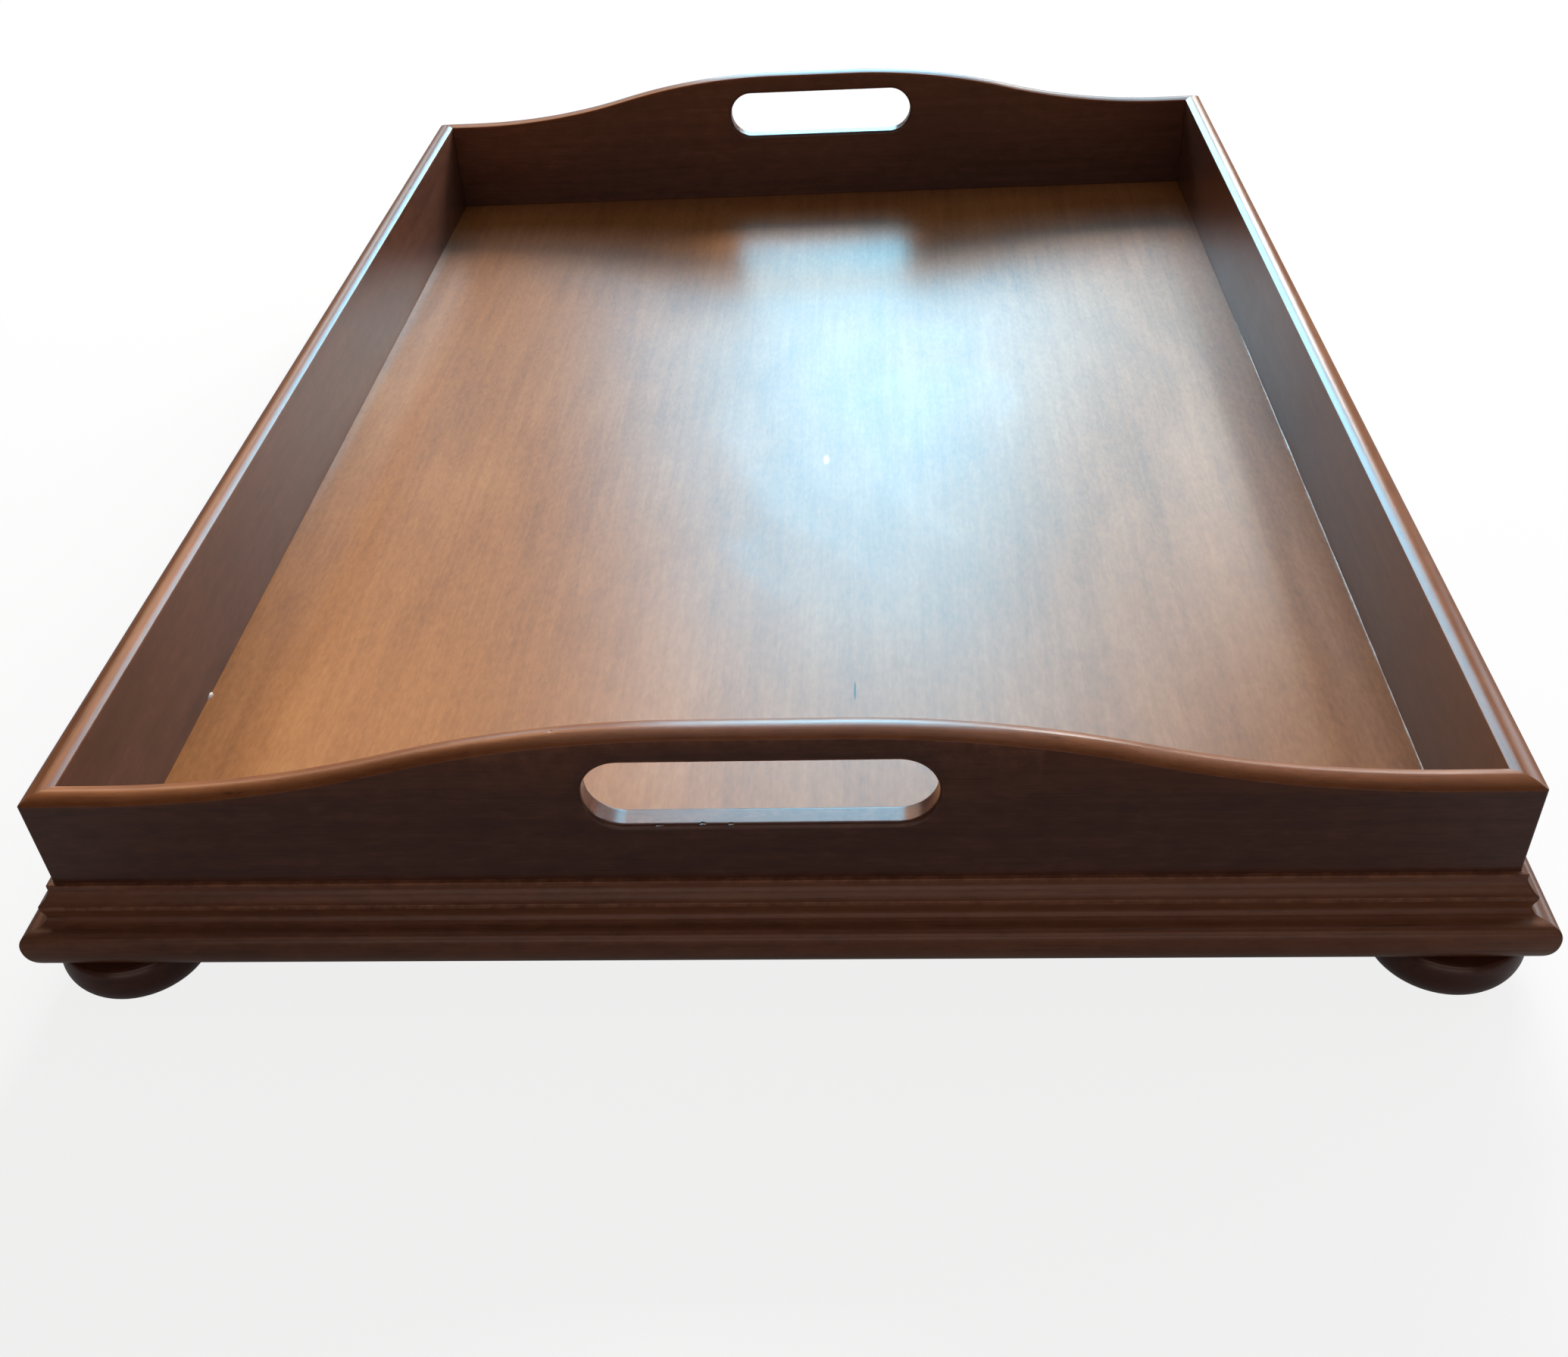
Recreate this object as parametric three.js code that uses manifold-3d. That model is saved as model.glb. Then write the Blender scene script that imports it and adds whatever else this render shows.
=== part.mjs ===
// A wooden serving tray on four bun feet.
// Four mitred walls hold a floor panel in a groove. A moulded base runs round the outside,
// and a turned foot is screwed to a glue block in each corner under the floor.
// Millimetres, +Z up. X runs across the tray and Y along it, with the front end at -Y.
// The origin is in the middle of the tray, on the surface that it stands on.
import * as THREE from "three";
import { mergeVertices } from "three/addons/utils/BufferGeometryUtils.js";
import Module from "manifold-3d";

const wasm = await Module();
wasm.setup();

// Walls, measured outside and above the underside of the base
const TRAY_WIDTH = 440;
const TRAY_LENGTH = 604;
const WALL_THICKNESS = 8.6;
const WALL_HEIGHT = 60;
const EDGE_ROUND_WIDTH = 5.5;
const EDGE_ROUND_DROP = 2.4;

// The scalloped top of each end panel: a flat crest and straight shoulders, joined by an S of two arcs
const CREST_RISE = 22;
const CREST_FLAT = 44;
const SHOULDER_LENGTH = 23;

// Handle slots with round ends
const SLOT_LENGTH = 103;
const SLOT_HEIGHT = 23.5;
const SLOT_BELOW_CREST = 22;
const SLOT_EDGE_ROUND = 1.2;
const BACK_SLOT_OFFSET = 4;

// Floor panel, let into grooves in the walls
const FLOOR_THICKNESS = 6;
const FLOOR_RECESS = 7;
const GROOVE_DEPTH = 4;
const FLOOR_EDGE_PLAY = 0.5;

// Base moulding, measured out from the walls and up from its underside
const MOULDING_HEIGHT = 27.5;
const MOULDING_PROJECTION = 12;
const FILLET_WIDTH = 1.7;
const FILLET_DROP = 2.1;
const COVE_DEPTH = 0.5;
const NOSE_PROJECTION = 5;
const NOSE_HEIGHT = 21.4;
const NOSE_DEPTH = 1.2;
const CREASE_PROJECTION = 4.2;
const CREASE_HEIGHT = 17.2;
const SHOULDER_PROJECTION = 8;
const SHOULDER_HEIGHT = 14.4;
const TOE_HEIGHT = 9.5;
const TOE_BEND_HEIGHT = 3;
const TOE_UNDERCUT = 4.3;

// Turned feet
const FOOT_HEIGHT = 18;
const FOOT_DIAMETER = 48;
const FOOT_PAD_DIAMETER = 30;
const FOOT_WAIST_DIAMETER = 40;
const FOOT_WIDEST_HEIGHT = 9.5;

// Screws that hold the feet, and the corner blocks that they bite into
const SCREW_DIAMETER = 3.5;
const SCREW_HEAD_DIAMETER = 7;
const SCREW_HEAD_HEIGHT = 2.6;
const SCREW_POINT_LENGTH = 3;
const SCREW_SHORT_OF_FLOOR = 0.8;
const RECESS_LENGTH = 4;
const RECESS_WIDTH = 0.9;
const RECESS_DEPTH = 1.3;
const COUNTERBORE_DEPTH = 8;
const COUNTERBORE_PLAY = 1;
const BLOCK_LEG = 42;
const BLOCK_NOSE = 7;
const BLOCK_WEB = 0.9;

// Hidden splines across the mitres
const SPLINE_THICKNESS = 2.5;
const SPLINE_COVER = 1.4;
const SPLINE_ABOVE_FLOOR = 5;
const SPLINE_BELOW_TOP = 8;

// Gap left for glue or for a sliding fit between two pieces
const GLUE_LINE = 0.2;

// Points nearer than this are one point when a shape is made into a solid
const MERGE_TOLERANCE = 1e-4;

// How finely curves are divided
const SCALLOP_STEPS = 44;
const ROUND_STEPS = 5;
const CURVE_STEPS = 6;
const SLOT_SIDES = 24;
const FOOT_SIDES = 28;
const SCREW_SIDES = 16;

// Heights above the surface that the tray stands on
const wallTop = FOOT_HEIGHT + WALL_HEIGHT;
const crestTop = wallTop + CREST_RISE;
const floorUnderside = FOOT_HEIGHT + FLOOR_RECESS;
const floorTop = floorUnderside + FLOOR_THICKNESS;
const slotCentre = crestTop - SLOT_BELOW_CREST;

const halfWidth = TRAY_WIDTH / 2;
const halfLength = TRAY_LENGTH / 2;
const pilotRadius = SCREW_DIAMETER / 2 + GLUE_LINE;
const footInset = WALL_THICKNESS + GLUE_LINE + pilotRadius + BLOCK_WEB;

const finishes = {
  wall: new THREE.MeshStandardMaterial({ color: 0x5a2f18, roughness: 0.35, metalness: 0 }),
  floor: new THREE.MeshStandardMaterial({ color: 0x84502b, roughness: 0.3, metalness: 0 }),
  moulding: new THREE.MeshStandardMaterial({ color: 0x4d2a18, roughness: 0.4, metalness: 0 }),
  foot: new THREE.MeshStandardMaterial({ color: 0x3a1d12, roughness: 0.35, metalness: 0 }),
  secondary: new THREE.MeshStandardMaterial({ color: 0xc9a26c, roughness: 0.75, metalness: 0 }),
  steel: new THREE.MeshStandardMaterial({ color: 0xb3a98c, roughness: 0.35, metalness: 1 }),
};

// A closed three.js geometry as a solid that can be cut and joined
function solidOf(geometry) {
  const bare = geometry.clone();
  bare.deleteAttribute("normal");
  bare.deleteAttribute("uv");
  const merged = mergeVertices(bare, MERGE_TOLERANCE);
  const vertProperties = merged.attributes.position.array;
  const triVerts = new Uint32Array(merged.index.array);
  return new wasm.Manifold(new wasm.Mesh({ numProp: 3, vertProperties, triVerts }));
}

function geometryOf(solid) {
  const { vertProperties, triVerts } = solid.getMesh();
  const geometry = new THREE.BufferGeometry();
  geometry.setAttribute("position", new THREE.BufferAttribute(new Float32Array(vertProperties), 3));
  geometry.setIndex(new THREE.BufferAttribute(new Uint32Array(triVerts), 1));
  return geometry.toNonIndexed();
}

function cut(geometry, tools) {
  const left = tools.reduce((solid, tool) => solid.subtract(solidOf(tool)), solidOf(geometry));
  return geometryOf(left);
}

function named(name, geometry, material) {
  geometry.computeVertexNormals();
  const mesh = new THREE.Mesh(geometry, material);
  mesh.name = name;
  return mesh;
}

// The four sides of the tray. In a side's own frame X runs along it, Y points in from the outer
// face of its wall, and Z is up.
const sides = [
  { place: "front", kind: "end", half: halfWidth, turn: 0, at: [0, -halfLength] },
  { place: "right", kind: "side", half: halfLength, turn: Math.PI / 2, at: [halfWidth, 0] },
  { place: "back", kind: "end", half: halfWidth, turn: Math.PI, at: [0, halfLength] },
  { place: "left", kind: "side", half: halfLength, turn: -Math.PI / 2, at: [-halfWidth, 0] },
];

const corners = [
  { place: "front_left", sx: -1, sy: -1 },
  { place: "front_right", sx: 1, sy: -1 },
  { place: "back_left", sx: -1, sy: 1 },
  { place: "back_right", sx: 1, sy: 1 },
];

// A bar with mitred ends. The section's x is the distance in from the outer face of the wall,
// and its y is the height. lift raises a point by its place along the bar.
function mitredBar(section, half, steps, lift = () => 0) {
  const bar = new THREE.ExtrudeGeometry(section, {
    depth: 1,
    steps,
    bevelEnabled: false,
    curveSegments: CURVE_STEPS,
  });
  const position = bar.attributes.position;
  const endGap = (GLUE_LINE / 2) * Math.SQRT2;
  for (let i = 0; i < position.count; i++) {
    const inward = position.getX(i);
    const height = position.getY(i);
    const along = (2 * position.getZ(i) - 1) * (half - inward - endGap);
    position.setXYZ(i, along, inward, height + lift(along, height));
  }
  return bar;
}

// The height of the scalloped edge above the shoulders, at a distance from the middle
function scallopRise(along) {
  const run = halfWidth - SHOULDER_LENGTH - CREST_FLAT / 2;
  const radius = (run * run + CREST_RISE * CREST_RISE) / (4 * CREST_RISE);
  const fromCrest = THREE.MathUtils.clamp(Math.abs(along) - CREST_FLAT / 2, 0, run);
  const fromShoulder = run - fromCrest;
  const sag = (reach) => radius - Math.sqrt(radius * radius - reach * reach);
  return fromCrest < fromShoulder ? CREST_RISE - sag(fromCrest) : sag(fromShoulder);
}

// Section of a wall: a shallow round on the outer top edge and a groove for the floor
function wallSection() {
  const radius = (EDGE_ROUND_WIDTH ** 2 + EDGE_ROUND_DROP ** 2) / (2 * EDGE_ROUND_DROP);
  const sweep = Math.asin(EDGE_ROUND_WIDTH / radius);
  const section = new THREE.Shape();
  section.moveTo(0, FOOT_HEIGHT);
  section.lineTo(0, wallTop - EDGE_ROUND_DROP);
  for (let i = 1; i <= ROUND_STEPS; i++) {
    const angle = Math.PI / 2 + sweep * (1 - i / ROUND_STEPS);
    section.lineTo(EDGE_ROUND_WIDTH + radius * Math.cos(angle), wallTop - radius + radius * Math.sin(angle));
  }
  section.lineTo(WALL_THICKNESS, wallTop);
  section.lineTo(WALL_THICKNESS, floorTop + GLUE_LINE);
  section.lineTo(WALL_THICKNESS - GROOVE_DEPTH, floorTop + GLUE_LINE);
  section.lineTo(WALL_THICKNESS - GROOVE_DEPTH, floorUnderside - GLUE_LINE);
  section.lineTo(WALL_THICKNESS, floorUnderside - GLUE_LINE);
  section.lineTo(WALL_THICKNESS, FOOT_HEIGHT);
  return section;
}

// Section of the base moulding, from the top: a small fillet, a shallow cove down to a nose,
// a crease, a round shoulder and an undercut toe
function mouldingSection() {
  const up = (height) => FOOT_HEIGHT + height;
  const back = -GLUE_LINE;
  const coveTop = new THREE.Vector2(-FILLET_WIDTH, up(MOULDING_HEIGHT - FILLET_DROP));
  const nose = new THREE.Vector2(-NOSE_PROJECTION, up(NOSE_HEIGHT));
  const chord = nose.clone().sub(coveTop);
  const inward = new THREE.Vector2(-chord.y, chord.x).normalize();
  const cove = coveTop.clone().lerp(nose, 1 / 2).addScaledVector(inward, 2 * COVE_DEPTH);
  const section = new THREE.Shape();
  section.moveTo(back, up(0));
  section.lineTo(back, up(MOULDING_HEIGHT));
  section.lineTo(-FILLET_WIDTH, up(MOULDING_HEIGHT));
  section.lineTo(coveTop.x, coveTop.y);
  section.quadraticCurveTo(cove.x, cove.y, nose.x, nose.y);
  section.lineTo(nose.x, nose.y - NOSE_DEPTH);
  section.lineTo(-CREASE_PROJECTION, up(CREASE_HEIGHT));
  section.quadraticCurveTo(-CREASE_PROJECTION, up(SHOULDER_HEIGHT), -SHOULDER_PROJECTION, up(SHOULDER_HEIGHT));
  section.quadraticCurveTo(-MOULDING_PROJECTION, up(SHOULDER_HEIGHT), -MOULDING_PROJECTION, up(TOE_HEIGHT));
  section.quadraticCurveTo(-MOULDING_PROJECTION, up(TOE_BEND_HEIGHT), TOE_UNDERCUT - MOULDING_PROJECTION, up(0));
  return section;
}

// The hollow left by a rounding cutter run from one end of a handle slot to the other
function slotTools(offset) {
  const radius = SLOT_HEIGHT / 2;
  const flare = radius + SLOT_EDGE_ROUND;
  const overrun = 1;
  const edge = [new THREE.Vector2(flare, -overrun)];
  for (let i = 0; i <= ROUND_STEPS; i++) {
    const angle = (i / ROUND_STEPS) * (Math.PI / 2);
    edge.push(new THREE.Vector2(flare - SLOT_EDGE_ROUND * Math.sin(angle), SLOT_EDGE_ROUND * (1 - Math.cos(angle))));
  }
  const mirrored = edge.map((point) => new THREE.Vector2(point.x, WALL_THICKNESS - point.y)).reverse();
  const outline = [...edge, ...mirrored];
  const travel = SLOT_LENGTH - SLOT_HEIGHT;
  const axis = [new THREE.Vector2(0, -overrun), new THREE.Vector2(0, WALL_THICKNESS + overrun)];
  const bit = new THREE.LatheGeometry([axis[0], ...outline, axis[1]], SLOT_SIDES);
  const ends = [-1, 1].map((side) => bit.clone().translate(offset + (side * travel) / 2, 0, slotCentre));
  const otherEdge = outline.map((point) => new THREE.Vector2(-point.x, point.y)).reverse();
  const middle = new THREE.ExtrudeGeometry(new THREE.Shape([...outline, ...otherEdge]), {
    depth: travel,
    bevelEnabled: false,
  });
  middle.rotateY(Math.PI / 2).translate(offset - travel / 2, 0, slotCentre);
  return [...ends, middle];
}

// A spline lies across each mitre, with its width square to the joint
const splineReach = Math.SQRT2 * (WALL_THICKNESS - 2 * SPLINE_COVER) - SPLINE_THICKNESS;
const splineBottom = floorTop + SPLINE_ABOVE_FLOOR;
const splineTop = wallTop - SPLINE_BELOW_TOP;

function splineBlock(play) {
  const width = splineReach + 2 * play;
  const thickness = SPLINE_THICKNESS + 2 * play;
  return new THREE.BoxGeometry(width, thickness, splineTop - splineBottom + 2 * play);
}

function splinePockets(half) {
  return [-1, 1].map((end) => {
    const pocket = splineBlock(GLUE_LINE).rotateZ((end * Math.PI) / 4);
    const along = end * (half - WALL_THICKNESS / 2);
    return pocket.translate(along, WALL_THICKNESS / 2, (splineBottom + splineTop) / 2);
  });
}

function wall(side) {
  const isEnd = side.kind === "end";
  const edgeStart = wallTop - EDGE_ROUND_DROP - GLUE_LINE;
  const lift = (along, height) => (isEnd && height > edgeStart ? scallopRise(along) : 0);
  const bar = mitredBar(wallSection(), side.half, isEnd ? SCALLOP_STEPS : 1, lift);
  const slotOffset = side.place === "back" ? -BACK_SLOT_OFFSET : 0;
  const slot = isEnd ? slotTools(slotOffset) : [];
  const geometry = cut(bar, [...splinePockets(side.half), ...slot]);
  return named(`${side.kind}_panel_${side.place}`, geometry, finishes.wall);
}

function moulding(side) {
  const bar = mitredBar(mouldingSection(), side.half, 1);
  return named(`base_moulding_${side.place}`, bar, finishes.moulding);
}

function floorPanel() {
  const reach = 2 * (GROOVE_DEPTH - FLOOR_EDGE_PLAY - WALL_THICKNESS);
  const panel = new THREE.BoxGeometry(TRAY_WIDTH + reach, TRAY_LENGTH + reach, FLOOR_THICKNESS);
  panel.translate(0, 0, floorUnderside + FLOOR_THICKNESS / 2);
  return named("tray_floor", panel, finishes.floor);
}

// A quarter of an ellipse from one point of a turned profile to another, upright at the end
// where it is widest
function bulge(fromRadius, fromHeight, toRadius, toHeight) {
  const points = [];
  for (let i = 0; i <= CURVE_STEPS; i++) {
    const angle = (i / CURVE_STEPS) * (Math.PI / 2);
    const radius = fromRadius + (toRadius - fromRadius) * Math.sin(angle);
    points.push(new THREE.Vector2(radius, toHeight + (fromHeight - toHeight) * Math.cos(angle)));
  }
  return points;
}

// A flattened bun, bored for its screw, standing on a flat pad
function footShape() {
  const top = FOOT_HEIGHT - GLUE_LINE;
  const bore = SCREW_HEAD_DIAMETER / 2 + COUNTERBORE_PLAY;
  const lower = bulge(FOOT_PAD_DIAMETER / 2, 0, FOOT_DIAMETER / 2, FOOT_WIDEST_HEIGHT);
  const upper = bulge(FOOT_WAIST_DIAMETER / 2, top, FOOT_DIAMETER / 2, FOOT_WIDEST_HEIGHT);
  upper.reverse().shift();
  const profile = [
    new THREE.Vector2(bore, 0),
    ...lower,
    ...upper,
    new THREE.Vector2(pilotRadius, top),
    new THREE.Vector2(pilotRadius, COUNTERBORE_DEPTH),
    new THREE.Vector2(bore, COUNTERBORE_DEPTH),
    new THREE.Vector2(bore, 0),
  ];
  return new THREE.LatheGeometry(profile, FOOT_SIDES).rotateX(Math.PI / 2);
}

// A round-headed wood screw, driven up through the foot, with a crossed recess in its head
function screwShape() {
  const seat = COUNTERBORE_DEPTH - GLUE_LINE;
  const headBottom = seat - SCREW_HEAD_HEIGHT;
  const tip = floorUnderside - SCREW_SHORT_OF_FLOOR;
  const shank = SCREW_DIAMETER / 2;
  const head = SCREW_HEAD_DIAMETER / 2;
  const profile = [
    ...bulge(0, headBottom, head, seat),
    new THREE.Vector2(shank, seat),
    new THREE.Vector2(shank, tip - SCREW_POINT_LENGTH),
    new THREE.Vector2(0, tip),
  ];
  const blank = new THREE.LatheGeometry(profile, SCREW_SIDES).rotateX(Math.PI / 2);
  const arms = [0, Math.PI / 2].map((turn) => {
    const arm = new THREE.BoxGeometry(RECESS_LENGTH, RECESS_WIDTH, 2 * RECESS_DEPTH);
    return arm.rotateZ(turn).translate(0, 0, headBottom);
  });
  return cut(blank, arms);
}

// A three-cornered glue block with its sharp ends cut off, bored for the screw
function blockShape() {
  const pilot = footInset - WALL_THICKNESS - GLUE_LINE;
  const outline = new THREE.Shape();
  outline.moveTo(0, 0);
  outline.lineTo(BLOCK_LEG, 0);
  outline.lineTo(BLOCK_LEG, BLOCK_NOSE);
  outline.lineTo(BLOCK_NOSE, BLOCK_LEG);
  outline.lineTo(0, BLOCK_LEG);
  const hole = new THREE.Path();
  hole.absarc(pilot, pilot, pilotRadius, 0, 2 * Math.PI);
  outline.holes.push(hole);
  return new THREE.ExtrudeGeometry(outline, {
    depth: FLOOR_RECESS - GLUE_LINE,
    bevelEnabled: false,
    curveSegments: SCREW_SIDES,
  });
}

const tray = new THREE.Group();
tray.add(floorPanel());

for (const side of sides) {
  const edge = new THREE.Group();
  edge.position.set(side.at[0], side.at[1], 0);
  edge.rotation.z = side.turn;
  edge.add(wall(side), moulding(side));
  tray.add(edge);
}

for (const { place, sx, sy } of corners) {
  const corner = new THREE.Group();
  corner.position.set(sx * halfWidth, sy * halfLength, 0);
  const foot = named(`bun_foot_${place}`, footShape(), finishes.foot);
  const screw = named(`foot_screw_${place}`, screwShape(), finishes.steel);
  for (const piece of [foot, screw]) {
    piece.position.set(-sx * footInset, -sy * footInset, 0);
  }
  const block = named(`corner_block_${place}`, blockShape(), finishes.secondary);
  const blockInset = WALL_THICKNESS + GLUE_LINE;
  block.position.set(-sx * blockInset, -sy * blockInset, FOOT_HEIGHT);
  block.rotation.z = Math.atan2(-sy, -sx) - Math.PI / 4;
  const spline = named(`mitre_spline_${place}`, splineBlock(0), finishes.secondary);
  const splineInset = WALL_THICKNESS / 2;
  spline.position.set(-sx * splineInset, -sy * splineInset, (splineBottom + splineTop) / 2);
  spline.rotation.z = (-sx * sy * Math.PI) / 4;
  corner.add(foot, screw, block, spline);
  tray.add(corner);
}

export default tray;
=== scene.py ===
# A wooden serving tray on bun feet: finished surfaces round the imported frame.
# Metres, +Z up. X runs across the tray and Y along it, with the front end at -Y.
import math

import bmesh
import bpy
from mathutils import Matrix, Vector, noise


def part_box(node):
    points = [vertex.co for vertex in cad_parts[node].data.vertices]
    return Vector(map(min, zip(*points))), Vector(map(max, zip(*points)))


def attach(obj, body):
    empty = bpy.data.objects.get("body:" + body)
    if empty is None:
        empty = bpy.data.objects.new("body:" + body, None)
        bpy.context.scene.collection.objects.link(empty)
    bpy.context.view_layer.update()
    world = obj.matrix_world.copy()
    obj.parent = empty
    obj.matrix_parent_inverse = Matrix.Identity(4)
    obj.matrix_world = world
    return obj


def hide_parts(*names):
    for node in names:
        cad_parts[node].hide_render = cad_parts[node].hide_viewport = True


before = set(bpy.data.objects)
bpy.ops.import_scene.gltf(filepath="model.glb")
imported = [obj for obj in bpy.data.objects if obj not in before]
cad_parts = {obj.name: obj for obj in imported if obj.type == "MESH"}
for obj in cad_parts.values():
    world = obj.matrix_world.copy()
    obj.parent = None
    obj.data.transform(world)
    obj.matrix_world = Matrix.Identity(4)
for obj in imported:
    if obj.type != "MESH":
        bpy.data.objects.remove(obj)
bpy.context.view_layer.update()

MM = 0.001

# Sizes read from the frame
end_low, end_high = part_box("end_panel_front")
side_low, side_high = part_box("side_panel_right")
panel_low, panel_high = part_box("tray_floor")
base_low, base_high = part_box("base_moulding_front")
foot_low, foot_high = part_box("bun_foot_front_left")
block_low, block_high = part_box("corner_block_front_left")
screw_low, screw_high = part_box("foot_screw_front_left")

HALF_WIDTH = side_high.x
HALF_LENGTH = -end_low.y
WALL = end_high.y - end_low.y
FOOT_TOP = end_low.z
WALL_TOP = side_high.z
CREST_TOP = end_high.z
FLOOR_TOP = panel_high.z
FLOOR_UNDER = panel_low.z
MOULDING_TOP = base_high.z
MOULDING_PROJECTION = end_low.y - base_low.y
GLUE_LINE = FOOT_TOP - foot_high.z
FOOT_RADIUS = (foot_high.x - foot_low.x) / 2
FOOT_CENTRE = (foot_low + foot_high) / 2
SCREW_RADIUS = (screw_high.x - screw_low.x) / 2
BLOCK_LEG = block_high.x - block_low.x
BLOCK_HEIGHT = block_high.z - block_low.z

# Sizes that the frame's boxes don't tell: the walls and their slots
EDGE_ROUND_WIDTH = 5.4 * MM
EDGE_ROUND_DROP = 1.6 * MM
INNER_SLOPE_DROP = 0.8 * MM
INNER_SLOPE_CURVE = 1.5
CREST_FLAT = 44 * MM
SHOULDER_LENGTH = 23 * MM
SLOT_LENGTH = 103 * MM
SLOT_HEIGHT = 23.5 * MM
SLOT_BELOW_CREST = 22 * MM
SLOT_OUTER_ROUND = 1.8 * MM
SLOT_INNER_ROUND = 1.6 * MM
BACK_SLOT_OFFSET = 4 * MM
GROOVE_DEPTH = 4 * MM
MITRE_GAP = 0.1 * MM
MITRE_SETBACK = MITRE_GAP / 2 * math.sqrt(2)
EASED = 0.35 * MM
INNER_ARRIS = 0.6 * MM
CORNER_ROUND = 0.9 * MM
EDGE_START = WALL_TOP - EDGE_ROUND_DROP - EASED
WAVER = 0.06 * MM
WAVES_ALONG = 14
WAVES_UP = 30

# The base moulding's section
MOULDING_CORNER_ROUND = 0.6 * MM
FILLET_WIDTH = 1.7 * MM
FILLET_DROP = 2.1 * MM
COVE_DEPTH = 0.5 * MM
NOSE_PROJECTION = 5 * MM
NOSE_HEIGHT = 21.4 * MM
NOSE_DEPTH = 1.2 * MM
CREASE_PROJECTION = 4.2 * MM
CREASE_HEIGHT = 17.2 * MM
SHOULDER_PROJECTION = 8 * MM
SHOULDER_HEIGHT = 14.4 * MM
TOE_HEIGHT = 9.5 * MM
TOE_BEND_HEIGHT = 3 * MM
TOE_UNDERCUT = 4.3 * MM

# The feet, and the screws and glue blocks that hold them
PAD_RADIUS = 15 * MM
PAD_EDGE = 0.4 * MM
WAIST_RADIUS = 21.6 * MM
FLARE_WIDTH = 1.4 * MM
FLARE_HEIGHT = 1.6 * MM
FOOT_WIDEST_HEIGHT = 9.5 * MM
BORE_RADIUS = 4.5 * MM
PILOT_RADIUS = 1.95 * MM
COUNTERBORE_DEPTH = 8 * MM
SHANK_RADIUS = 1.75 * MM
HEAD_HEIGHT = 2.6 * MM
POINT_LENGTH = 3 * MM
THREAD_PITCH = 1.4 * MM
THREAD_DEPTH = 0.3 * MM
THREAD_SHARES = (0.2, 0.7, 0.9)
RECESS_LENGTH = 4 * MM
RECESS_WIDTH = 0.9 * MM
RECESS_DEPTH = 1.3 * MM
RECESS_TURN = 0.4
BLOCK_NOSE = 7 * MM

# How finely things are divided and shaded
END_STATIONS = 220
SIDE_STATIONS = 90
CORNER_STATIONS = (0, 0.1, 0.25, 0.5, 0.75)
EASED_STEPS = 4
ROUND_STEPS = 12
CURVE_STEPS = 14
SLOT_STEPS = 32
FOOT_SEGMENTS = 96
SCREW_SEGMENTS = 48
BORE_SEGMENTS = 32
SMOOTH_ANGLE = math.radians(32)
SHARP_TURN = math.radians(25)
WEAR_AND_SHADE_REACH = 0.9 * MM
FLAT_FACE_WEIGHT = 80

# The four sides. In a side's own frame X runs along it, Y points in from the outer face of the
# wall, and Z is up.
SIDES = (
    ("front", "end", HALF_WIDTH, 0, Vector((0, -HALF_LENGTH, 0))),
    ("right", "side", HALF_LENGTH, math.pi / 2, Vector((HALF_WIDTH, 0, 0))),
    ("back", "end", HALF_WIDTH, math.pi, Vector((0, HALF_LENGTH, 0))),
    ("left", "side", HALF_LENGTH, -math.pi / 2, Vector((-HALF_WIDTH, 0, 0))),
)
CORNERS = (
    ("front_left", -1, -1),
    ("front_right", 1, -1),
    ("back_left", -1, 1),
    ("back_right", 1, 1),
)

# Noises along the grain of the wood: stretch, scale, detail, roughness and distortion
STREAKS = (0.035, 260.0, 5.0, 0.62, 0.2)
MOTTLE = (0.45, 210.0, 4.0, 0.6, 0.4)
PORE_LINES = (0.02, 1500.0, 2.0, 0.5, 0.0)
LACQUER_WAVES = (0.5, 16.0, 2.0, 0.4, 0.0)

# Grain: bands, streaks, mottle and flecks, each with its share in the tone of the wood
WALL_GRAIN = (
    ((0.22, 9.0, 3.0, 0.55, 0.6), 0.36),
    (STREAKS, 0.24),
    (MOTTLE, 0.26),
    ((0.14, 1150.0, 3.0, 0.6, 0.0), 0.14),
)
FLOOR_GRAIN = (
    ((0.22, 38.0, 3.0, 0.55, 0.6), 0.3),
    (STREAKS, 0.28),
    (MOTTLE, 0.14),
    ((0.3, 700.0, 3.0, 0.6, 0.0), 0.28),
)

# How far the place of a piece moves its grain, and the range of tones that the stain's colours cover
PIECE_SHIFT = (3.7, 5.3, 2.9)
DARKEST_AT = 0.33
TONE_RANGE = 0.34

# The stain: how dark the pores are and how light the rubbed edges; and the painted shade that darkens
# the inner corners, where shade falls.
# A noise has its scale, detail, roughness and distortion, and a range the values it runs between.
PORE_RANGE = (0.62, 0.74)
PORE_SHADE = 0.45
RUBBED_NOISE = (180.0, 4.0, 0.7)
RUBBED_NOISE_RANGE = (0.42, 0.62)
RUBBED_RANGE = (0.2, 1.0)
RUBBED_SHADE = 1.5
RUBBED_SHARE = 0.55
# Painted shade in the sharp inner corners: its colour, the range of the mark it follows, and its
# strength
CREVICE_SHADE_COLOUR = (0.012, 0.006, 0.004)
CREVICE_SHADE_RANGE = (-0.1, -1.0)
CREVICE_SHADE_SHARE = 0.75

# The wood's surface and its lacquer. The smears change the roughness from its least to its most.
SMEAR_NOISE = (11.0, 4.0, 0.6, 0.5)
SMEAR_RANGE = (0.3, 0.7, -0.035, 0.045)
MOTTLE_ROUGHNESS = 0.04
STREAK_RELIEF = 0.5
FLECK_RELIEF = 0.25
PORE_RELIEF = -0.5
GRAIN_RELIEF = 0.012 * MM
LACQUER_WAVE_HEIGHT = 0.2 * MM
WOOD_IOR = 1.5
LACQUER_ROUGHNESS = 0.28
STAIN_GLOSS = 0.1
BARE_GLOSS = 0.5

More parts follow.
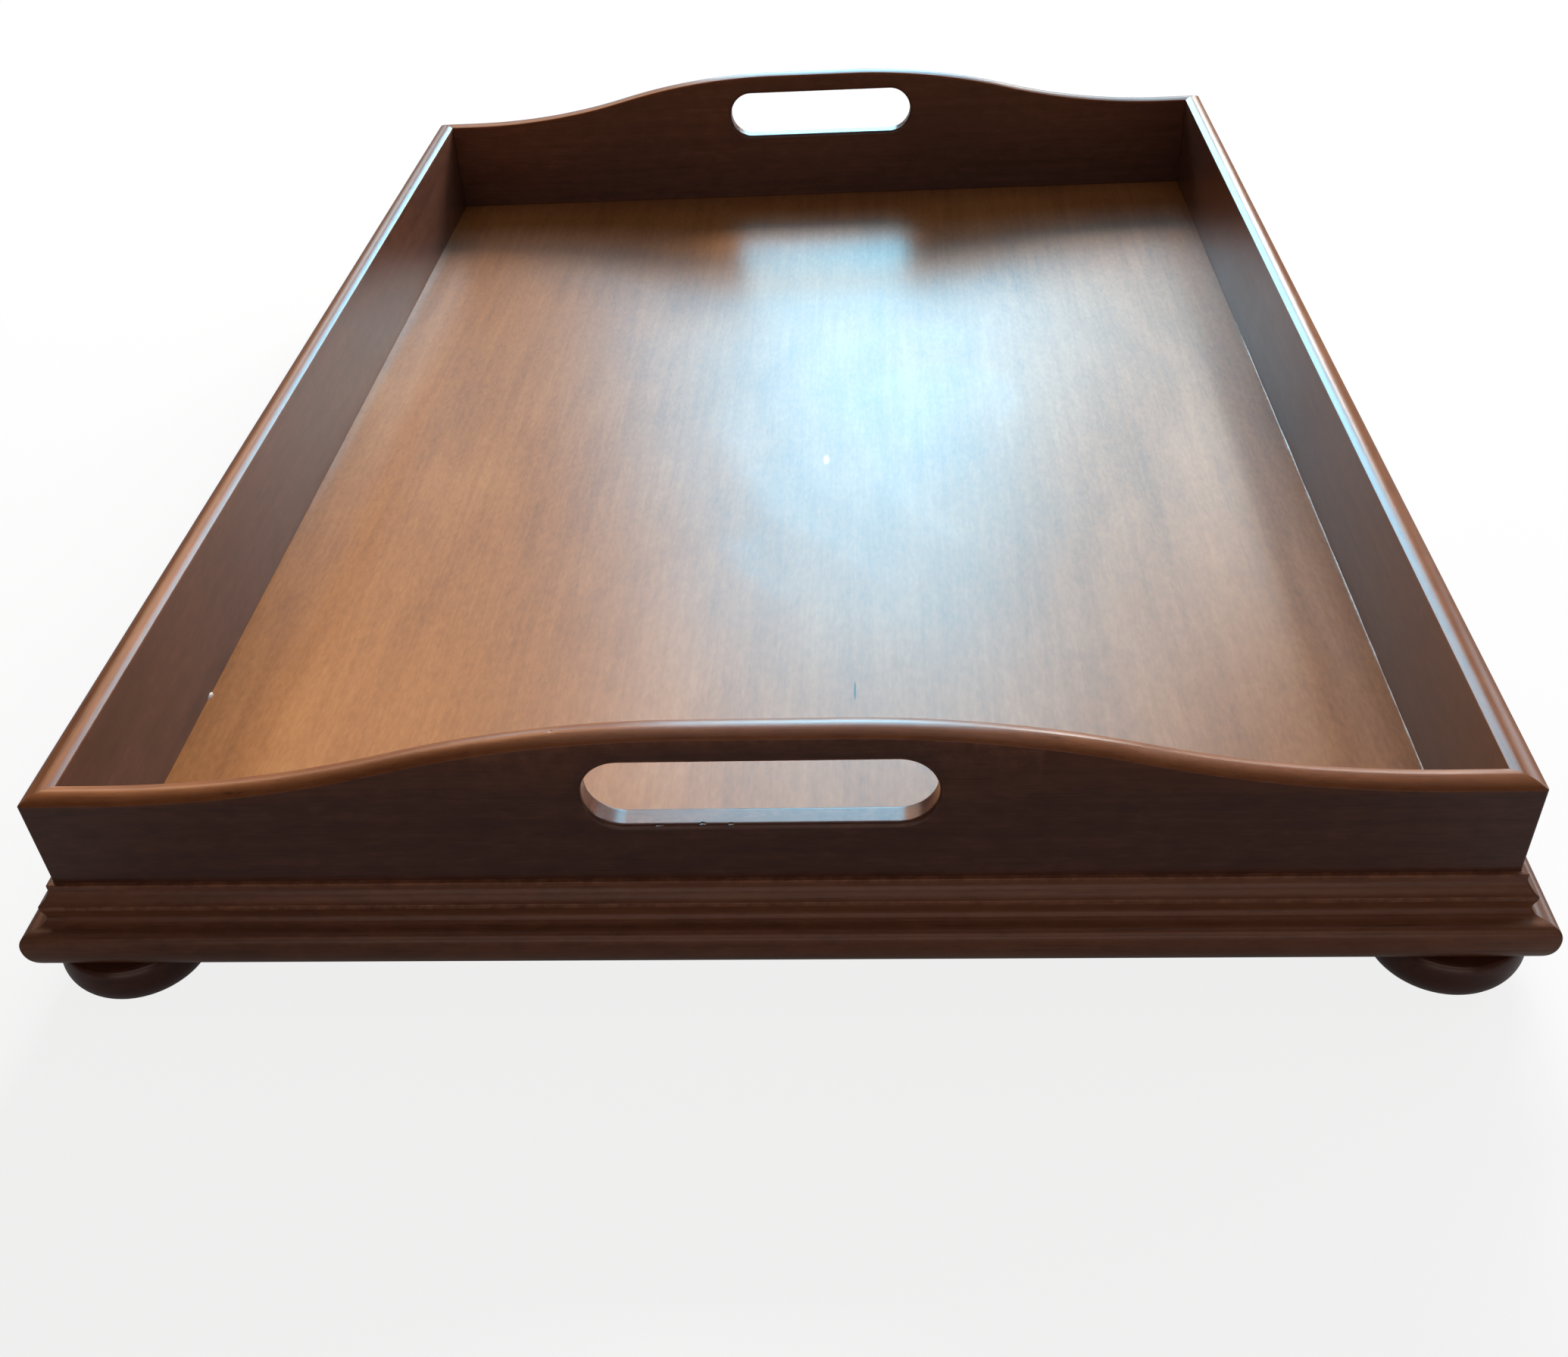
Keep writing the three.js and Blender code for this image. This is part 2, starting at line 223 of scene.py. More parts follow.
# Marks of use, in millimetres. A swirl has its middle, radius and width, and its first and last
# degree; a chip its place and its size along X, Y and Z; a speck or scratch its middle and half sizes.
SWIRLS = (
    (199, 17, 173, 8, 172, 224),
    (165, 32, 199, 9, 182, 231),
    (63, -67, 92, 9, 194, 227),
    (64, 24, 35, 8, -36, 161),
    (60, 40, 62, 11, 60, 175),
)
CHIPS = (
    (-58, 5.5, 98.6, 1.0, 0.9, 0.6),
    (-17, 1.1, 66.3, 1.7, 0.9, 0.35),
    (-30, 0.9, 66.1, 2.2, 0.5, 0.3),
    (-9, 1.0, 66.2, 1.2, 0.6, 0.3),
)
PAINT_SPECK = (12.2, -25.6, 1.3, 4.0)
DARK_SCRATCH = (25.75, -192.5, 0.4, 5.5)

# How the marks fade at their edges and ends, as shares of their own size, and how they waver
PATCH_EDGE = (1.15, 0.85)
SWIRL_ENDS = (1.15, 0.7)
DRIFT_NOISE = (14.0, 1.0)
DRIFT_RANGE = (0.3, 0.7, -4 * MM, 4 * MM)
FIBRE_NOISE = (45.0, 2.0, 0.5)
FIBRE_RANGE = (0.35, 0.65, 0.65, 1.0)

# How strong the marks are, and their colours
WIPING_RISE = 0.14 * MM
WIPING_HAZE = 0.05
HAZE_COLOUR = (0.72, 0.76, 0.8)
PAINT_COLOUR = (0.8, 0.78, 0.75)
SCRATCH_COLOUR = (0.06, 0.02, 0.01)
LACQUER_RISE = 0.7 * MM
LACQUER_RISE_WIDTH = 7 * MM
LACQUER_RISE_FADE = (-120 * MM, -20 * MM)

# Glue beads on the floor's edges: name, side, first and last Y, and size. Their size wavers, and
# falls off over the last stations at their ends.
BEADS = (
    ("glue_bead_right", 1, -HALF_LENGTH + 2 * WALL, 0.101, 0.8 * MM),
    ("glue_chip_left", -1, -0.1925, -0.1875, 1.3 * MM),
)
BEAD_STEPS = 4
BEAD_SPACING = 1.2 * MM
BEAD_LEAST_STATIONS = 8
BEAD_SIZE = 0.62
BEAD_UNEVENNESS = 0.6
BEAD_WAVES = (60, 9)
BEAD_SEED = 1.5
BEAD_TAPER = 6
BEAD_END = 0.15

# The lamps: name, azimuth and elevation in degrees, distance, width and height in metres, the red,
# green and blue radiance, and whether it lights matt surfaces, shows in the gloss, or both. The
# window_ ones together are the reflection of a bright window beyond the far end.
LAMPS = (
    ("daylight", 3, 27, 3.4, 1.2, 0.8, (47.0, 47.0, 47.0), "matt"),
    ("daylight_right", 23, 22, 3.4, 0.71, 1.08, (28.0, 28.0, 28.0), "matt"),
    ("window_middle", 1, 31, 3.4, 0.59, 1.02, (2.7, 11.6, 16.8), "gloss"),
    ("window_middle_left", -8, 31, 3.4, 0.47, 1.02, (0.9, 4.4, 6.6), "gloss"),
    ("window_middle_right", 11.5, 31, 3.4, 0.59, 1.02, (0.8, 3.2, 4.4), "gloss"),
    ("window_right", 20.6, 23, 3.4, 0.4, 1.04, (11.5, 12.5, 12.5), "gloss"),
    ("window_top", 1, 47, 3.4, 1.32, 0.83, (4.0, 7.4, 9.6), "gloss"),
    ("window_foot", 1, 17, 3.4, 1.2, 0.59, (4.6, 8.0, 9.5), "gloss"),
    ("window_left", -24, 20, 3.4, 0.5, 0.9, (1.7, 2.8, 3.3), "gloss"),
    ("left_high", -25, 42, 3.4, 1.57, 0.71, (5.0, 2.7, 1.4), "gloss"),
    ("far_left", -37, 28, 3.4, 0.96, 1.0, (2.6, 1.9, 1.4), "gloss"),
    ("far_right", 60, 27, 2.6, 1.4, 1.0, (2.4, 3.0, 3.3), "both"),
    ("near_low", 180, 9, 2.6, 2.4, 0.6, (0.85, 0.7, 0.62), "both"),
    ("near", 180, 38, 2.6, 2.4, 1.2, (0.62, 0.45, 0.38), "both"),
    ("overhead", 0, 80, 2.4, 2.0, 1.4, (0.35, 0.35, 0.35), "both"),
)
WORLD_LIGHT = 0.03
WHITE = (1.0, 1.0, 1.0)

# The ground: its size and place, its colour as light falls on it, how white it looks in
# reflections, and how plain a white the camera sees near the tray, where its shadow falls
GROUND_REACH = 12.0
GROUND_LEVEL = -0.1 * MM
GROUND_COLOUR = (0.13, 0.125, 0.12)
GROUND_IN_REFLECTIONS = 0.1
GROUND_GLOW = 0.84
SHADOW_REACH = 0.6

# The camera that took the photograph, from a fit to its edges: picture width, focal length and
# rise of the optical centre in pixels, sensor width in millimetres, angles in degrees, and place
# in millimetres from the middle of the walls' underside
PICTURE_WIDTH = 2070
FOCAL_LENGTH = 2071.5
CENTRE_RISE = 104
SENSOR_WIDTH = 36.0
YAW = -4.755
PITCH = 39.787
ROLL = -3.788
CAMERA_PLACE = (35.84, -637.77, 354.57)
CLIP_START = 0.01
CLIP_END = 50.0


# Mesh helpers

def bend(start, control, end, steps):
    """The points of a quadratic curve."""
    shares = [i / steps for i in range(steps + 1)]
    return [start * (1 - t) ** 2 + control * 2 * t * (1 - t) + end * t * t for t in shares]


def arc_round(corner, before, after, radius):
    """The points of a small round that replaces a corner of an outline."""
    into = (corner - before).normalized()
    out = (after - corner).normalized()
    turn = into.angle(out)
    longest = min((corner - before).length, (after - corner).length) / 2
    reach = min(radius * math.tan(turn / 2), longest)
    return bend(corner - into * reach, corner, corner + out * reach, EASED_STEPS)


def eased(corners):
    """A closed outline of (point, radius) corners as points, with each corner rounded by its radius.

    Each point comes with a mark: 1 on a rounded outer corner, where the stain is rubbed light, -1 in a
    sharp inner one, where shade is painted dark, else 0. Points a little way off on the long edges keep
    the mark close to its corner.
    """
    count = len(corners)
    area = sum(corners[i - 1][0].cross(corners[i][0]) for i in range(count))
    outline = []
    for i, (point, radius) in enumerate(corners):
        before = corners[i - 1][0]
        after = corners[(i + 1) % count][0]
        into = point - before
        out = after - point
        outward = into.cross(out) * area > 0
        sharp = abs(into.angle_signed(out)) > SHARP_TURN
        if radius > 0:
            points = arc_round(point, before, after, radius)
            wear_and_shade = 1.0 if outward else -1.0
        else:
            points = [point]
            wear_and_shade = -1.0 if sharp and not outward else 0.0
        if wear_and_shade and into.length > 3 * WEAR_AND_SHADE_REACH:
            outline.append((points[0] - into.normalized() * WEAR_AND_SHADE_REACH, 0.0))
        outline += [(p, wear_and_shade) for p in points]
        if wear_and_shade and out.length > 3 * WEAR_AND_SHADE_REACH:
            outline.append((points[-1] + out.normalized() * WEAR_AND_SHADE_REACH, 0.0))
    return outline


def link(name, data):
    """A new object in the scene."""
    item = bpy.data.objects.new(name, data)
    bpy.context.scene.collection.objects.link(item)
    return item


def shade(piece):
    """Shades a piece smooth, apart from its sharp edges."""
    piece.data.shade_smooth()
    piece.data.set_sharp_from_angle(angle=SMOOTH_ANGLE)


def mesh_object(name, mesh_builder):
    """Turns a bmesh into an object of its own."""
    bmesh.ops.recalc_face_normals(mesh_builder, faces=mesh_builder.faces)
    mesh = bpy.data.meshes.new(name)
    mesh_builder.to_mesh(mesh)
    mesh_builder.free()
    piece = link(name, mesh)
    shade(piece)
    return piece


def join_rings(builder, rings):
    """Faces between rings of the same number of points, and a face over each end."""
    count = len(rings[0])
    for near, far in zip(rings, rings[1:]):
        for i in range(count):
            j = (i + 1) % count
            builder.faces.new((near[i], near[j], far[j], far[i]))
    builder.faces.new(rings[0])
    builder.faces.new(reversed(rings[-1]))


def swept(name, outline, along, place):
    """A bar: the outline's points are put at each station along it by place(station, x, z)."""
    bar = bmesh.new()
    edge_marks = bar.verts.layers.float.new("wear_and_shade")
    rings = []
    for station in along:
        ring = []
        for point, wear_and_shade in outline:
            vert = bar.verts.new(place(station, point.x, point.y))
            vert[edge_marks] = wear_and_shade
            ring.append(vert)
        rings.append(ring)
    join_rings(bar, rings)
    return mesh_object(name, bar)


def turned(name, profile, segments, closed=False):
    """A piece turned about the Z axis from (radius, height) points; a closed profile makes a ring."""
    builder = bmesh.new()
    builder.verts.layers.float.new("wear_and_shade")
    rings = []
    for radius, height in profile:
        count = segments if radius else 1
        turns = [2 * math.pi * i / segments for i in range(count)]
        points = [(radius * math.cos(turn), radius * math.sin(turn), height) for turn in turns]
        rings.append([builder.verts.new(point) for point in points])
    pairs = list(zip(rings, rings[1:]))
    if closed:
        pairs.append((rings[-1], rings[0]))
    for low, high in pairs:
        for i in range(segments):
            j = (i + 1) % segments
            corners = [low[i % len(low)], low[j % len(low)], high[j % len(high)], high[i % len(high)]]
            unique = list(dict.fromkeys(corners))
            if len(unique) > 2:
                builder.faces.new(unique)
    return mesh_object(name, builder)


def cut(piece, *tools):
    """Subtracts closed objects from a piece and removes them."""
    for tool in tools:
        modifier = piece.modifiers.new("cut", "BOOLEAN")
        modifier.operation = "DIFFERENCE"
        modifier.solver = "EXACT"
        modifier.object = tool
    bpy.context.view_layer.update()
    evaluated = piece.evaluated_get(bpy.context.evaluated_depsgraph_get())
    mesh = bpy.data.meshes.new_from_object(evaluated)
    piece.modifiers.clear()
    piece.data = mesh
    for tool in tools:
        bpy.data.objects.remove(tool)
    shade(piece)


def flat_faces_first(piece):
    """Normals that leave the broad flat faces flat and keep the shading in the small rounds."""
    modifier = piece.modifiers.new("weighted_normals", "WEIGHTED_NORMAL")
    modifier.weight = FLAT_FACE_WEIGHT
    modifier.keep_sharp = True


def finished(piece, material, slot, *nodes):
    """Gives a piece its material and puts it in the place of its CAD nodes."""
    piece.data.materials.clear()
    piece.data.materials.append(material)
    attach(piece, "root")
    if nodes:
        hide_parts(*nodes)
    return piece


def side_matrix(turn, at):
    """The place of a piece that is turned about the Z axis."""
    return Matrix.Translation(at) @ Matrix.Rotation(turn, 4, "Z")


def stations(count, half):
    """Places along a bar from -1 to 1, closer together where its outer corners are rounded."""
    last = 1 - CORNER_ROUND / half
    close = [1 - (1 - last) * share for share in CORNER_STATIONS]
    even = [last * (2 * i / count - 1) for i in range(count + 1)]
    return [-place for place in close] + even + close[::-1]


def round_corner(along, depth, end, radius):
    """Where a point of an outer face goes when the upright corner at its end is rounded."""
    over = abs(along) - (end - radius)
    if over <= 0 or radius <= 0:
        return along, depth
    share = radius / math.hypot(over, radius)
    return math.copysign(end - radius + over * share, along), depth + radius * (1 - share)


# The walls

def scallop_rise(along):
    """The height of the scalloped edge above the shoulders, at a distance from the middle."""
    rise = CREST_TOP - WALL_TOP
    run = HALF_WIDTH - SHOULDER_LENGTH - CREST_FLAT / 2
    radius = (run * run + rise * rise) / (4 * rise)
    from_crest = min(max(abs(along) - CREST_FLAT / 2, 0), run)
    reach = min(from_crest, run - from_crest)
    sag = radius - math.sqrt(radius * radius - reach * reach)
    return rise - sag if from_crest < run - from_crest else sag


def rounded_top():
    """The points of a wall's rounded top, from the outer face to where the inner slope ends."""
    radius = (EDGE_ROUND_WIDTH ** 2 + EDGE_ROUND_DROP ** 2) / (2 * EDGE_ROUND_DROP)
    sweep = math.asin(EDGE_ROUND_WIDTH / radius)
    points = []
    for i in range(1, ROUND_STEPS + 1):
        angle = math.pi / 2 + sweep * (1 - i / ROUND_STEPS)
        x = EDGE_ROUND_WIDTH + radius * math.cos(angle)
        points.append(Vector((x, WALL_TOP - radius + radius * math.sin(angle))))
    for i in range(1, ROUND_STEPS):
        share = i / ROUND_STEPS
        x = EDGE_ROUND_WIDTH + (WALL - EDGE_ROUND_WIDTH) * share
        points.append(Vector((x, WALL_TOP - INNER_SLOPE_DROP * share ** INNER_SLOPE_CURVE)))
    return points


def wall_outline():
    """Section of a wall: x is the distance in from the outer face, y the height."""
    groove = WALL - GROOVE_DEPTH
    return eased([
        (Vector((0, FOOT_TOP)), EASED),
        (Vector((0, WALL_TOP - EDGE_ROUND_DROP)), EASED),
        *[(point, 0) for point in rounded_top()],
        (Vector((WALL, WALL_TOP - INNER_SLOPE_DROP)), INNER_ARRIS),
        (Vector((WALL, FLOOR_TOP + GLUE_LINE)), 0),
        (Vector((groove, FLOOR_TOP + GLUE_LINE)), 0),
        (Vector((groove, FLOOR_UNDER - GLUE_LINE)), 0),
        (Vector((WALL, FLOOR_UNDER - GLUE_LINE)), 0),
        (Vector((WALL, FOOT_TOP)), EASED),
    ])


def wander(along, height, seed):
    """The slight waver of a hand-finished edge."""
    return WAVER * (noise.noise(Vector((along * WAVES_ALONG, height * WAVES_UP, seed))) - 1)


def slot_layers():
    """The slot's section through the wall: how far each layer flares, its depth and its wear."""
    overrun = 1 * MM
    turns = [(math.pi / 2) * i / ROUND_STEPS for i in range(ROUND_STEPS + 1)]
    layers = [(SLOT_OUTER_ROUND, -overrun, 0.0)]
    for turn in turns:
        depth = SLOT_OUTER_ROUND * (1 - math.cos(turn))
        layers.append((SLOT_OUTER_ROUND * (1 - math.sin(turn)), depth, math.sin(2 * turn)))
    for turn in reversed(turns):
        depth = WALL - SLOT_INNER_ROUND * (1 - math.cos(turn))
        layers.append((SLOT_INNER_ROUND * (1 - math.sin(turn)), depth, math.sin(2 * turn)))
    layers.append((SLOT_INNER_ROUND, WALL + overrun, 0.0))
    return layers


def slot_tool(offset):
    """The hollow of a handle slot, with its edges rounded towards both faces of the wall."""
    travel = (SLOT_LENGTH - SLOT_HEIGHT) / 2
    centre = CREST_TOP - SLOT_BELOW_CREST
    tool = bmesh.new()
    edge_marks = tool.verts.layers.float.new("wear_and_shade")
    rings = []
    for flare, depth, wear_and_shade in slot_layers():
        radius = SLOT_HEIGHT / 2 + flare
        ring = []
        for end in (1, -1):
            for i in range(SLOT_STEPS + 1):
                angle = end * (math.pi * i / SLOT_STEPS - math.pi / 2)
                x = offset + end * (travel + radius * math.cos(angle))
                vert = tool.verts.new((x, depth, centre + radius * math.sin(angle)))
                vert[edge_marks] = wear_and_shade
                ring.append(vert)
        rings.append(ring)
    join_rings(tool, rings)
    return mesh_object("slot_tool", tool)


def chip_tool(x, depth, height, long, deep, high):
    """A rough pebble that takes a small chip out of the front wall."""
    roughness = 0.4
    waves = 1.6
    tool = bmesh.new()
    edge_marks = tool.verts.layers.float.new("wear_and_shade")
    bmesh.ops.create_icosphere(tool, subdivisions=3, radius=1)
    for vert in tool.verts:
        out = vert.co * (1 + roughness * noise.noise(vert.co * waves + Vector((x, 0, 0))))
        vert.co = Vector((x + out.x * long, depth + out.y * deep, height + out.z * high)) * MM
        vert[edge_marks] = 1.0
    return mesh_object("chip_tool", tool)


def clear_flat_wear_and_shade(piece):
    """Clears the rubbed and painted-shade marks from the flat faces of a wall round its slot, so that
    they stay in the rounds.
    """
    close = 0.01 * MM
    middle = CREST_TOP - SLOT_BELOW_CREST
    reach = SLOT_HEIGHT / 2 + 2 * SLOT_OUTER_ROUND
    edge_marks = piece.data.attributes["wear_and_shade"].data
    for vert in piece.data.vertices:
        on_face = vert.co.y < close or vert.co.y > WALL - close
        if on_face and abs(vert.co.z - middle) < reach:
            edge_marks[vert.index].value = 0.0


def mark_lit_rim(piece, is_end):
    """Marks the rounded top of a wall, which gets lighter tones: painted light, where light falls on it.
    """
    lit_rim = piece.data.attributes.new("lit_rim", "FLOAT", "POINT").data
    for vert in piece.data.vertices:
        rise = scallop_rise(vert.co.x) if is_end else 0
        over = vert.co.z - rise - EDGE_START
        lit_rim[vert.index].value = min(max(over / EASED, 0.0), 1.0)


def wall(place, kind, half, turn, at, material):
    """One of the four mitred walls. The end walls have a scalloped top and a handle slot."""
    is_end = kind == "end"
    own_seed = at.x * 31 + at.y * 17

    def put(station, x, z):
        along = station * (half - x - MITRE_SETBACK)
        upper = z > EDGE_START
        lift = scallop_rise(along) if is_end and upper else 0
        waver = wander(along, z, own_seed) if upper else 0
        fade = 1 - x / EDGE_ROUND_WIDTH if z > FOOT_TOP + EASED else 1
        radius = CORNER_ROUND * max(fade, 0) if x < EDGE_ROUND_WIDTH else 0
        along, depth = round_corner(along, x, half - x, radius)
        return Vector((along, depth, z + lift + waver))

    name = f"{kind}_panel_{place}"
    steps = END_STATIONS if is_end else SIDE_STATIONS
    piece = swept(name + "_wood", wall_outline(), stations(steps, half), put)
    if is_end:
        cut(piece, slot_tool(-BACK_SLOT_OFFSET if place == "back" else 0))
    if place == "front":
        cut(piece, *[chip_tool(*chip) for chip in CHIPS])
    if is_end:
        clear_flat_wear_and_shade(piece)
    mark_lit_rim(piece, is_end)
    flat_faces_first(piece)
    piece.matrix_world = side_matrix(turn, at)
    return finished(piece, material, "wall_wood", name)


# The base moulding

def moulding_outline():
    """Section of the base moulding, from the top: fillet, cove, nose, crease, shoulder and toe."""
    def at(out, height):
        return Vector((-out, FOOT_TOP + height))

    def curve(start, control, end):
        return [(point, 0) for point in bend(start, control, end, CURVE_STEPS)[1:]]

    top = MOULDING_TOP - FOOT_TOP
    cove_top = at(FILLET_WIDTH, top - FILLET_DROP)
    nose = at(NOSE_PROJECTION, NOSE_HEIGHT)
    chord = nose - cove_top
    hollow = Vector((-chord.y, chord.x)).normalized() * 2 * COVE_DEPTH
    crease = at(CREASE_PROJECTION, CREASE_HEIGHT)
    shoulder = at(SHOULDER_PROJECTION, SHOULDER_HEIGHT)
    toe = at(MOULDING_PROJECTION, TOE_HEIGHT)
    toe_foot = at(MOULDING_PROJECTION - TOE_UNDERCUT, 0)
    return eased([
        (at(-GLUE_LINE, 0), 0),
        (at(-GLUE_LINE, top), EASED),
        (at(FILLET_WIDTH, top), EASED),
        (cove_top, 0),
        *curve(cove_top, (cove_top + nose) / 2 + hollow, nose)[:-1],
        (nose, EASED),
        (at(NOSE_PROJECTION, NOSE_HEIGHT - NOSE_DEPTH), EASED),
        (crease, 0),
        *curve(crease, at(CREASE_PROJECTION, SHOULDER_HEIGHT), shoulder),
        *curve(shoulder, at(MOULDING_PROJECTION, SHOULDER_HEIGHT), toe),
        *curve(toe, at(MOULDING_PROJECTION, TOE_BEND_HEIGHT), toe_foot)[:-1],
        (toe_foot, EASED),
    ])


def moulding(place, half, turn, at, material):
    """One of the four mitred lengths of moulding round the bottom of the walls."""
    def put(station, x, z):
        radius = MOULDING_CORNER_ROUND if x < 0 else 0
        along = station * (half - x - MITRE_SETBACK)
        along, depth = round_corner(along, x, half - x, radius)
        return Vector((along, depth, z))

    name = f"base_moulding_{place}"
    piece = swept(name + "_wood", moulding_outline(), stations(SIDE_STATIONS, half), put)
    flat_faces_first(piece)
    piece.matrix_world = side_matrix(turn, at)
    return finished(piece, material, "moulding_wood", name)


# The feet and what holds them

def bulge(from_radius, from_height, to_radius, to_height):
    """A quarter of an ellipse between two points of a turned profile, upright where it is widest."""
    points = []
    for i in range(CURVE_STEPS + 1):
        angle = (i / CURVE_STEPS) * math.pi / 2
        radius = from_radius + (to_radius - from_radius) * math.sin(angle)
        points.append((radius, to_height + (from_height - to_height) * math.cos(angle)))
    return points


def foot(place, centre, material):
    """A turned bun foot with a flare under the moulding, bored for its screw."""
    top = FOOT_TOP - GLUE_LINE
    lower = bulge(PAD_RADIUS, 0, FOOT_RADIUS, FOOT_WIDEST_HEIGHT)
    upper = bulge(WAIST_RADIUS, top - FLARE_HEIGHT, FOOT_RADIUS, FOOT_WIDEST_HEIGHT)[::-1][1:]
    flare = []
    for i in range(1, ROUND_STEPS + 1):
        angle = (math.pi / 2) * i / ROUND_STEPS
        out = FLARE_WIDTH * (1 - math.cos(angle))
        flare.append((WAIST_RADIUS + out, top - FLARE_HEIGHT * (1 - math.sin(angle))))
    profile = [
        (BORE_RADIUS, PAD_EDGE),
        (BORE_RADIUS + PAD_EDGE, 0),
        *lower,
        *upper,
        *flare,
        (PILOT_RADIUS, top),
        (PILOT_RADIUS, COUNTERBORE_DEPTH),
        (BORE_RADIUS, COUNTERBORE_DEPTH),
    ]
    name = f"bun_foot_{place}"
    piece = turned(name + "_wood", profile, FOOT_SEGMENTS, closed=True)
    piece.location = centre
    return finished(piece, material, "foot_wood", name)


def screw_profile(seat, tip):
    """The half section of a screw: a domed head below its seat, a threaded shank and a point."""
    root = SHANK_RADIUS - THREAD_DEPTH
    profile = [*bulge(0, screw_low.z, SCREW_RADIUS, seat), (SHANK_RADIUS, seat)]
    for i in range(int((tip - POINT_LENGTH - seat) / THREAD_PITCH)):
        for radius, share in zip((root, root, SHANK_RADIUS), THREAD_SHARES):
            profile.append((radius, seat + (i + share) * THREAD_PITCH))
    return [*profile, (0, tip)]


def screw(place, centre, material):
    """A wood screw seen from below, with a crossed recess in its head."""
    profile = screw_profile(screw_low.z + HEAD_HEIGHT, screw_high.z)
    name = f"foot_screw_{place}"
    piece = turned(name + "_steel", profile, SCREW_SEGMENTS)
    size = Matrix.Diagonal((RECESS_LENGTH, RECESS_WIDTH, 2 * RECESS_DEPTH, 1))
    arms = []
    for turn in (RECESS_TURN, RECESS_TURN + math.pi / 2):
        arm = bmesh.new()
        bmesh.ops.create_cube(arm, size=1)
        arm.transform(side_matrix(turn, (0, 0, screw_low.z)) @ size)
        arms.append(mesh_object("recess_arm", arm))
    cut(piece, *arms)
    piece.location = centre
    return finished(piece, material, "screw_steel", name)


def corner_block(place, sx, sy, material):
    """A three-cornered glue block with eased edges, bored for the screw."""
    shape = [
        (Vector((0, 0)), 0),
        (Vector((BLOCK_LEG, 0)), EASED),
        (Vector((BLOCK_LEG, BLOCK_NOSE)), EASED),
        (Vector((BLOCK_NOSE, BLOCK_LEG)), EASED),
        (Vector((0, BLOCK_LEG)), EASED),
    ]
    layers = ((EASED, 0), (0, EASED), (0, BLOCK_HEIGHT - EASED), (EASED, BLOCK_HEIGHT))
    middle = Vector((BLOCK_LEG / 3, BLOCK_LEG / 3))

    def put(layer, x, y):
        inset, z = layer
        point = Vector((x, y))
        pulled = point + (middle - point).normalized() * inset
        return Vector((pulled.x, pulled.y, z))

    name = f"corner_block_{place}"
    piece = swept(name + "_wood", eased(shape), layers, put)
    inset = WALL + GLUE_LINE
    pilot_place = HALF_WIDTH - inset - abs(FOOT_CENTRE.x)
    low, high = -BLOCK_HEIGHT, 2 * BLOCK_HEIGHT
    bore_profile = [(0, low), (PILOT_RADIUS, low), (PILOT_RADIUS, high), (0, high)]
    bore = turned("block_bore", bore_profile, BORE_SEGMENTS)
    bore.location = (pilot_place, pilot_place, 0)
    cut(piece, bore)
    turn = math.atan2(-sy, -sx) - math.pi / 4
    corner = Vector((sx * (HALF_WIDTH - inset), sy * (HALF_LENGTH - inset), FOOT_TOP))
    piece.matrix_world = side_matrix(turn, corner)
    return finished(piece, material, "bare_wood", name)


def bead(name, side, y_start, y_end, size, material):
    """A thin uneven bead of glue in the corner between the floor and a side wall."""
    wall_x = side * (HALF_WIDTH - WALL)
    turns = [math.pi / 2 * i / BEAD_STEPS for i in range(BEAD_STEPS + 1)]
    outline = [(Vector((0, 0)), 0.0)] + [(Vector((-math.cos(t), math.sin(t))), 0.0) for t in turns]
    count = max(BEAD_LEAST_STATIONS, int((y_end - y_start) / BEAD_SPACING))

    def put(station, across, up):
        y = (y_start + y_end) / 2 + station * (y_end - y_start) / 2
        at = Vector((y * BEAD_WAVES[0], wall_x * BEAD_WAVES[1], BEAD_SEED))
        uneven = BEAD_SIZE + BEAD_UNEVENNESS * noise.noise(at)
        taper = min(1.0, (1 - abs(station)) * count / BEAD_TAPER + BEAD_END)
        radius = size * uneven * taper
        return Vector((wall_x + side * across * radius, y, FLOOR_TOP + up * radius))

    piece = swept(name, outline, [2 * i / count - 1 for i in range(count + 1)], put)
    return finished(piece, material, "floor_veneer")


# Materials

